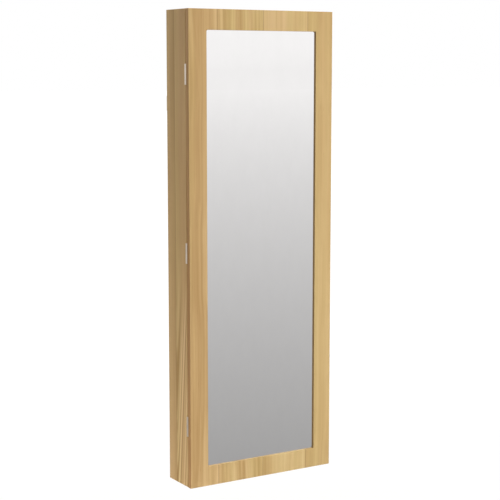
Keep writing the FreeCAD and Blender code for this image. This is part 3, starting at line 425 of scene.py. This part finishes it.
def oak_foil(name, sheet, turn, shift, arch=None, tint=None):
    """Oak foil from one sheet of the print. turn brings the grain to local Z and the planks' width to local
    X, and shift puts a seam at local X = 0. arch is an arched figure's place across, top and strength. tint
    makes a colour that the foil is multiplied by, from the tree and the object coordinates."""
    material, tree, shader, place = start_material(name, IOR=1.45, Specular_IOR_Level=0.15)
    sockets = {"Vector": place, "Rotation": turn, "Location": shift}
    local = add_node(tree, "ShaderNodeMapping", sockets).outputs[0]
    axes = split(tree, local)
    own, plank_tone, calm, seam = planks(tree, local, axes["X"], sheet)
    grain = wandering(tree, own)
    narrow = noise(tree, grain, LINE_SCALE, 3, 0.55)
    fibre = noise(tree, grain, FIBRE_SCALE, 2, 0.5)
    streaks = blended(tree, calm, noise(tree, grain, STREAK_SCALE, 3, 0.55), AVERAGE_TONE)
    lines = blended(tree, calm, narrow, AVERAGE_TONE)
    if arch:
        arched, share = arches(tree, axes["X"], axes["Z"], *arch)
        streaks = blended(tree, share, streaks, arched)
    cloud = noise(tree, own, CLOUD_SCALE, 2)
    tone = weigh_up(tree, (lines, LINE_WEIGHT), (streaks, STREAK_WEIGHT), (cloud, CLOUD_WEIGHT))
    tone = calculate(tree, "ADD", tone, spread(tree, plank_tone, 0, 1, -PLANK_WEIGHT, PLANK_WEIGHT))
    blush = spread(tree, noise(tree, grain, BLUSH_SCALE, 2), 0.38, 0.62)
    colour = mix(tree, 1, ramp(tree, tone, *OAK_TONES), mix(tree, blush, OAK_YELLOW, OAK_PINK), "MULTIPLY")
    pores = spread(tree, fibre, 0.66, 0.74)
    colour = mix(tree, calculate(tree, "MULTIPLY", pores, PORE_STRENGTH), colour, PORE_COLOUR)
    colour = mix(tree, calculate(tree, "MULTIPLY", seam, SEAM_STRENGTH), colour, SEAM_COLOUR)
    if tint:
        colour = mix(tree, 1, colour, tint(tree, place), "MULTIPLY")
    sunk = weigh_up(tree, (seam, 0.5), (pores, 0.6))
    finish_material(
        tree, shader, Base_Color=colour, Roughness=spread(tree, narrow, 0.3, 0.7, 0.36, 0.46),
        Normal=bump(tree, calculate(tree, "SUBTRACT", fibre, sunk), EMBOSSING, 0.35),
    )
    return material


print("oak foil from", len(OAK_TONES), "tones")

# %% [markdown]
# The grain runs upright all over the door, also across its short rails, because the frame is cut from one
# sheet. It runs upright on the sides and the divider, and along the length of the top, the bottom and the
# shelves. The door's long outer edges are closed with a redder band. The edges of the opening at the sides
# and above are painted a darker brown, which is painted shade for the shade that falls into that narrow
# recess. The lower one faces up into the light and keeps the plain foil.

# %% Wrap the boards
UPRIGHT = (0, 0, 0)
UPRIGHT_SIDEWAYS = (0, 0, pi / 2)
LEVEL = (0, pi / 2, 0)
SEAM_ON_FRONT = 0.002
SEAM_ON_SIDE = -0.038
SEAM_ON_ENDS, SEAM_ON_SHELVES, SEAM_ON_SMALL = 0.055, 0.03, 0.02
DOOR_SHEET, LEFT_SHEET, RIGHT_SHEET = 15, 28, 31
ENDS_SHEET, SHELVES_SHEET, SMALL_SHEET = 47, 53, 68
LEFT_ARCH = (0.001, -0.55, 0.9)
RIGHT_ARCH = (0.012, -0.35, 0.45)
LEFT_TINT = (0.985, 0.965, 0.985, 1)
FRAME_WIDTH = 0.045
EDGE_REACH = 0.0002
EDGE_BAND = (0.74, 0.62, 0.55, 1)
# The colour that paints shade into the side and top edges of the mirror opening.
PAINTED_REVEAL_SHADE = (0.5, 0.46, 0.44, 1)
door_low, door_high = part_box("door_frame")


def edge_band_and_painted_shade(tree, place):
    """The tint of the door: redder on its long outer edges, and a darker brown painted on three edges of
    the opening as painted shade.
    """
    from_middle = combine(tree, "SUBTRACT", place, (door_low + door_high) / 2)
    axes = split(tree, from_middle)
    across = calculate(tree, "ABSOLUTE", axes["X"])
    half_width, half_height = (door_high.x - door_low.x) / 2, (door_high.z - door_low.z) / 2
    band = calculate(tree, "GREATER_THAN", across, half_width - EDGE_REACH)
    in_width = calculate(tree, "LESS_THAN", across, half_width - FRAME_WIDTH + EDGE_REACH)
    under_top = calculate(tree, "LESS_THAN", axes["Z"], half_height - FRAME_WIDTH + EDGE_REACH)
    over_foot = calculate(tree, "GREATER_THAN", axes["Z"], FRAME_WIDTH - half_height + EDGE_REACH)
    # Painted shade: the sides and top of the opening are darkened for the shade in that recess, and the
    # lower edge, which is lit, is left out.
    shaded_reveal = calculate(tree, "MULTIPLY", in_width, calculate(tree, "MULTIPLY", under_top, over_foot))
    return mix(tree, shaded_reveal, mix(tree, band, WHITE, EDGE_BAND), PAINTED_REVEAL_SHADE)


def rosy(tree, place):
    """The tint of the left side, which makes it a trace redder than the others."""
    return LEFT_TINT


door_foil = oak_foil("oak_foil_door", DOOR_SHEET, UPRIGHT, (-SEAM_ON_FRONT, 0, 0), tint=edge_band_and_painted_shade)
left_foil = oak_foil("oak_foil_left", LEFT_SHEET, UPRIGHT_SIDEWAYS, (SEAM_ON_SIDE, 0, 0), LEFT_ARCH, rosy)
right_foil = oak_foil("oak_foil_right", RIGHT_SHEET, UPRIGHT_SIDEWAYS, (SEAM_ON_SIDE, 0, 0), RIGHT_ARCH)
ends_foil = oak_foil("oak_foil_ends", ENDS_SHEET, LEVEL, (SEAM_ON_ENDS, 0, 0))
shelves_foil = oak_foil("oak_foil_shelves", SHELVES_SHEET, LEVEL, (SEAM_ON_SHELVES, 0, 0))
small_foil = oak_foil("oak_foil_small", SMALL_SHEET, UPRIGHT_SIDEWAYS, (SEAM_ON_SMALL, 0, 0))

dress(door_foil, "door_frame")
dress(left_foil, "left_side_panel")
dress(right_foil, "right_side_panel")
dress(ends_foil, "top_panel", "bottom_panel")
dress(shelves_foil, "shelf_1", "shelf_2", "shelf_3", "shelf_4", "necklace_rail", "door_tray_floor")
dress(small_foil, "bay_divider", "ring_tray", "left_rack_upright", "right_rack_upright", "left_tray_cheek",
      "right_tray_cheek")

# %% [markdown]
# ## Turned beech
# The dowels and the bracelet bar are beech: paler and pinker than oak, with short dark flecks along the
# grain.

# %% Beech
RAY_SCALE, FLECK_SCALE = (60, 260, 260), (220, 1500, 1500)

beech, tree, shader, place = start_material("turned_beech", IOR=1.45)
rays = noise(tree, place, RAY_SCALE, 3)
flecks = spread(tree, noise(tree, place, FLECK_SCALE, 2), 0.62, 0.7)
colour = ramp(
    tree, rays, (0.3, paint(202, 166, 122)), (0.5, paint(216, 184, 142)), (0.7, paint(226, 199, 160))
)
colour = mix(tree, calculate(tree, "MULTIPLY", flecks, 0.5), colour, paint(168, 122, 80))
finish_material(tree, shader, Base_Color=colour, Roughness=spread(tree, rays, 0.3, 0.7, 0.42, 0.55),
                Normal=bump(tree, flecks, 0.0001, 0.3))
dress(beech, "bracelet_bar", "corner_dowels", "divider_dowels")

# %% [markdown]
# ## Hardboard
# The back is a thin sheet of hardboard: brown fibres pressed flat, smooth to the touch and speckled close
# up.

# %% Hardboard
BOARD_CLOUD_SCALE, BOARD_FIBRE_SCALE = (14, 14, 14), (900, 900, 900)

hardboard, tree, shader, place = start_material("hardboard", IOR=1.45)
clouds = noise(tree, place, BOARD_CLOUD_SCALE, 4, 0.6)
fibres = noise(tree, place, BOARD_FIBRE_SCALE, 3, 0.7)
blotch = weigh_up(tree, (fibres, 0.7), (clouds, 0.3))
colour = ramp(
    tree, blotch, (0.35, paint(120, 91, 62)), (0.5, paint(136, 105, 74)), (0.65, paint(150, 119, 87))
)
finish_material(tree, shader, Base_Color=colour, Roughness=spread(tree, fibres, 0.3, 0.7, 0.6, 0.8),
                Normal=bump(tree, fibres, 0.0002, 0.4))
dress(hardboard, "back_panel")

# %% [markdown]
# ## Velvet
# The linings and the ring cushion are flocked velvet in charcoal. Velvet is dark face on and has a pale
# bloom at a grazing angle, which is the sheen layer of the shader. The pile leans in patches where a hand
# has brushed it, so slow clouds shift the tone, and a fine grain stands for the tips of the pile.

# %% Velvet
BRUSHED_SCALE, PILE_SCALE = (10, 10, 5), (1600, 1600, 1600)
LINING_GREY, CUSHION_GREY = 52, 60


def velvet(name, shade):
    """Flocked velvet whose middle tone is a grey from 0 to 255."""
    material, tree, shader, place = start_material(
        name, Sheen_Weight=0.55, Sheen_Roughness=0.35, Sheen_Tint=paint(190, 186, 190),
        Specular_IOR_Level=0.15,
    )
    brushed = noise(tree, place, BRUSHED_SCALE, 2, 0.5)
    pile = noise(tree, place, PILE_SCALE, 2, 0.6)
    tone = weigh_up(tree, (pile, 0.65), (brushed, 0.35))
    brushed_down = paint(shade - 10, shade - 12, shade - 10)
    middle_tone = paint(shade, shade - 2, shade)
    brushed_up = paint(shade + 14, shade + 11, shade + 14)
    colour = ramp(tree, tone, (0.34, brushed_down), (0.5, middle_tone), (0.66, brushed_up))
    finish_material(tree, shader, Base_Color=colour, Roughness=spread(tree, pile, 0.3, 0.7, 0.85, 1.0),
                    Normal=bump(tree, pile, 0.0004, 0.6))
    return material


dress(velvet("lining_velvet", LINING_GREY), "back_lining", "door_lining")

# %% [markdown]
# ## The mirror
# The mirror is float glass with silver behind it. It returns nearly all the light, a shade less than
# white, and the faint unevenness of the glass bends a reflection only over a hand's width.

# %% Mirror glass
UNEVENNESS_SCALE, FILM_SCALE = (9, 9, 5), (30, 30, 18)

mirror, tree, shader, place = start_material("mirror_glass", Metallic=1.0)
unevenness = noise(tree, place, UNEVENNESS_SCALE, 2)
film = noise(tree, place, FILM_SCALE, 4, 0.6)
colour = ramp(tree, film, (0.35, (0.942, 0.928, 0.924, 1)), (0.65, (0.955, 0.941, 0.937, 1)))
finish_material(tree, shader, Base_Color=colour, Roughness=spread(tree, film, 0.4, 0.75, 0.0, 0.012),
                Normal=bump(tree, unevenness, 0.00006, 0.3))
dress(mirror, "mirror_glass")

# %% [markdown]
# ## Clear acrylic
# The guards on the shelves and the perforated strips of the earring rack are clear acrylic sheet. Light
# goes straight through the faces and gathers in the cut edges, and a little fine scuffing keeps it from
# vanishing.

# %% Acrylic
SCUFF_SCALE = (240, 240, 40)

acrylic, tree, shader, place = start_material(
    "clear_acrylic", Transmission_Weight=1.0, IOR=1.49, Base_Color=(0.97, 0.985, 0.985, 1)
)
scuffs = noise(tree, place, SCUFF_SCALE, 4, 0.7)
finish_material(tree, shader, Roughness=spread(tree, scuffs, 0.5, 0.8, 0.01, 0.035),
                Normal=bump(tree, scuffs, 0.00001, 0.1))
dress(acrylic, "shelf_guard_2", "shelf_guard_3", "shelf_guard_4", "door_tray_guard",
      *[f"earring_strip_{number}" for number in range(1, 5)])

# %% [markdown]
# ## Nickel-plated steel
# Hinges, screws, pins, pegs, clips, cups and plates are steel with a satin nickel plate: a warm pale
# grey, with a soft reflection that fine upright brushing pulls out sideways.

# %% Satin nickel
BRUSHING_SCALE, STAIN_SCALE = (2200, 2200, 120), (70, 70, 70)

satin_nickel, tree, shader, place = start_material("satin_nickel", Metallic=1.0)
brushing = noise(tree, place, BRUSHING_SCALE, 2, 0.6)
stain = noise(tree, place, STAIN_SCALE, 3, 0.6)
tone = weigh_up(tree, (stain, 0.5), (brushing, 0.5))
colour = ramp(tree, tone, (0.35, paint(222, 210, 194)), (0.65, paint(236, 225, 210)))
finish_material(tree, shader, Base_Color=colour, Roughness=spread(tree, tone, 0.35, 0.65, 0.4, 0.48),
                Normal=bump(tree, brushing, 0.00002, 0.4))

hinge_leaves = [name for name in nodes if name.endswith("_leaf")]
dress(satin_nickel, *hinge_leaves, "hinge_pins", "cabinet_screws", "door_screws", "cam_locks", "cam_bolts",
      "left_hanger_plate", "right_hanger_plate", "lining_clips", "necklace_pegs", "shelf_pins",
      "left_bar_cup", "right_bar_cup", "strike_plate", "catch_poles")

# %% [markdown]
# ## Plastic, magnet, rubber and foam
# The magnetic catch is a moulded housing with a ferrite magnet between steel poles. Two soft bumpers
# quieten the door, and a thin foam sheet beds the mirror in its rebate.

# %% Small finishes
def moulded(name, dark, light, roughness, grain, depth, **constants):
    """A finish with one fine grain, which moves its tone, its roughness and its surface."""
    material, tree, shader, place = start_material(name, **constants)
    texture = noise(tree, place, (grain, grain, grain), 3, 0.6)
    finish_material(
        tree, shader, Base_Color=ramp(tree, texture, (0.35, dark), (0.65, light)),
        Roughness=spread(tree, texture, 0.3, 0.7, roughness - 0.06, roughness + 0.06),
        Normal=bump(tree, texture, depth, 0.4),
    )
    return material


catch_plastic = moulded("catch_plastic", paint(226, 224, 218), paint(233, 231, 226), 0.45, 1500, 0.00005)
ferrite = moulded("ferrite", paint(46, 46, 49), paint(66, 66, 70), 0.55, 1400, 0.0001, Metallic=0.4)
bumper_rubber = moulded(
    "bumper_rubber", paint(205, 205, 200), paint(222, 222, 217), 0.5, 500, 0.0001, Transmission_Weight=0.3
)
bedding_foam = moulded("bedding_foam", paint(226, 226, 222), paint(242, 242, 239), 0.9, 1800, 0.0004)

dress(catch_plastic, "catch_housing")
dress(ferrite, "catch_magnet")
dress(bumper_rubber, "door_bumpers")
dress(bedding_foam, "mirror_pad")

# %% [markdown]
# ## The ring cushion
# A ring cushion is a row of foam rolls, each wrapped in velvet and pressed against the next, so that a
# ring can be pushed down into the slit between two. One roll is modelled and then copied. It starts as a
# block that is cut across its length and rounded by a subdivision modifier.

# %% Shape one roll
ROLL_COUNT = 10
ROLL_CUTS = 9
ROLL_SQUEEZE = 0.0012
ROLL_INSET = 0.0008
SIMULATION_SCALE = 10
SAME_PLACE = 1e-4
cushion_low, cushion_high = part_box("ring_cushion")
cushion_size = cushion_high - cushion_low
roll_height = cushion_size.z / ROLL_COUNT + ROLL_SQUEEZE
roll_pitch = (cushion_size.z - roll_height) / (ROLL_COUNT - 1)
roll_size = Vector((cushion_size.x - 2 * ROLL_INSET, cushion_size.y, roll_height))


def resize_to(piece, size, centre):
    """Scales and moves a mesh so that it fills a box, with the object at the origin."""
    low = Vector([min(v.co[axis] for v in piece.data.vertices) for axis in range(3)])
    high = Vector([max(v.co[axis] for v in piece.data.vertices) for axis in range(3)])
    for vertex in piece.data.vertices:
        for axis in range(3):
            share = (vertex.co[axis] - low[axis]) / (high[axis] - low[axis]) - 0.5
            vertex.co[axis] = centre[axis] + share * size[axis]


def apply_modifier(piece, kind, **settings):
    """Adds a modifier, sets it up and applies it."""
    bpy.context.view_layer.objects.active = piece
    modifier = piece.modifiers.new(kind.lower(), kind)
    for name, value in settings.items():
        setattr(modifier, name, value)
    bpy.ops.object.modifier_apply(modifier=modifier.name)


bpy.ops.object.select_all(action="DESELECT")
bpy.ops.mesh.primitive_cube_add(size=1)
roll = bpy.context.object
roll.name = "ring_roll"
bpy.ops.object.mode_set(mode="EDIT")
bpy.ops.mesh.subdivide(number_cuts=1)
bpy.ops.object.mode_set(mode="OBJECT")
resize_to(roll, roll_size * SIMULATION_SCALE, Vector())
bpy.ops.object.mode_set(mode="EDIT")
bpy.ops.mesh.select_all(action="DESELECT")
bpy.ops.mesh.select_mode(type="EDGE")
bpy.ops.object.mode_set(mode="OBJECT")
for edge in roll.data.edges:
    first, second = (roll.data.vertices[index].co for index in edge.vertices)
    edge.select = abs(first.x - second.x) > SAME_PLACE
bpy.ops.object.mode_set(mode="EDIT")
bpy.ops.mesh.subdivide(number_cuts=ROLL_CUTS)
bpy.ops.object.mode_set(mode="OBJECT")
apply_modifier(roll, "SUBSURF", levels=2, render_levels=2)
resize_to(roll, roll_size * SIMULATION_SCALE, Vector())
print("one roll,", len(roll.data.polygons), "faces before the cloth")

# %% [markdown]
# A rounded block alone looks hard. The cloth simulation fills it like a cushion: its back is held, its
# front swells, and the cover puckers a little at the ends. The roll is simulated at ten times its size,
# because cloth settles more calmly at the size of a pillow.

# %% Fill it with the cloth simulation
PRESSURE = 9
CLOTH_FRAMES = 20
MOST_SWELLING = 0.03
SPARE_CLOTH = -0.05
HELD_SHARE = 0.25


def hold_back(piece):
    """A vertex group of the points near the roll's back, which stay where they are."""
    group = piece.vertex_groups.new(name="held")
    back = max(v.co.y for v in piece.data.vertices)
    held_from = back - HELD_SHARE * roll_size.y * SIMULATION_SCALE
    held = [v.index for v in piece.data.vertices if v.co.y > held_from]
    group.add(held, 1.0, "REPLACE")
    return group


def fill_with_air(piece):
    """Runs the cloth simulation on a closed mesh and keeps its last shape, with each move capped."""
    group = hold_back(piece)
    before = [vertex.co.copy() for vertex in piece.data.vertices]
    modifier = piece.modifiers.new("cloth", "CLOTH")
    settings = modifier.settings
    settings.quality = 7
    settings.mass = 0.25
    settings.tension_stiffness = settings.compression_stiffness = 12
    settings.bending_stiffness = 0.4
    settings.vertex_group_mass = group.name
    settings.use_pressure = True
    settings.uniform_pressure_force = PRESSURE
    settings.shrink_min = SPARE_CLOTH
    settings.effector_weights.gravity = 0
    for number in range(1, CLOTH_FRAMES + 1):
        bpy.context.scene.frame_set(number)
    bpy.context.view_layer.objects.active = piece
    bpy.ops.object.modifier_apply(modifier=modifier.name)
    for vertex, start in zip(piece.data.vertices, before):
        move = vertex.co - start
        if move.length > MOST_SWELLING:
            vertex.co = start + move.normalized() * MOST_SWELLING
    bpy.context.scene.frame_set(1)


fill_with_air(roll)
print("the cover has settled in", CLOTH_FRAMES, "steps")

# %% [markdown]
# The rolls fill the height of the tray, each a little taller than its share, so that they press together.
# Every second one is mirrored, so that the same puckers don't come back in a column. The row takes the
# place of the plain solid cushion and moves with the cabinet.

# %% Copy the roll down the tray
rolls = []
for number in range(ROLL_COUNT):
    copied = roll.copy()
    copied.data = roll.data.copy()
    copied.name = f"ring_roll_{number + 1}"
    bpy.context.collection.objects.link(copied)
    if number % 2:
        for vertex in copied.data.vertices:
            vertex.co.x = -vertex.co.x
        copied.data.flip_normals()
    centre = (cushion_low + cushion_high) / 2
    centre.z = cushion_low.z + roll_height / 2 + number * roll_pitch
    resize_to(copied, roll_size, centre)
    rolls.append(copied)
bpy.data.objects.remove(roll)

bpy.ops.object.select_all(action="DESELECT")
for copied in rolls:
    copied.select_set(True)
bpy.context.view_layer.objects.active = rolls[0]
bpy.ops.object.join()
ring_rolls = bpy.context.object
ring_rolls.name = "ring_rolls"
bpy.ops.object.shade_smooth()
ring_rolls.data.materials.clear()
ring_rolls.data.materials.append(velvet("ring_velvet", CUSHION_GREY))
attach(ring_rolls, "cabinet")
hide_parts("ring_cushion")
print("ring cushion:", ROLL_COUNT, "rolls,", len(ring_rolls.data.polygons), "faces")

# %% [markdown]
# ## Colour as written
# The plain view transform shows colours as the materials write them.

# %% Finish
bpy.context.scene.view_settings.view_transform = "Standard"
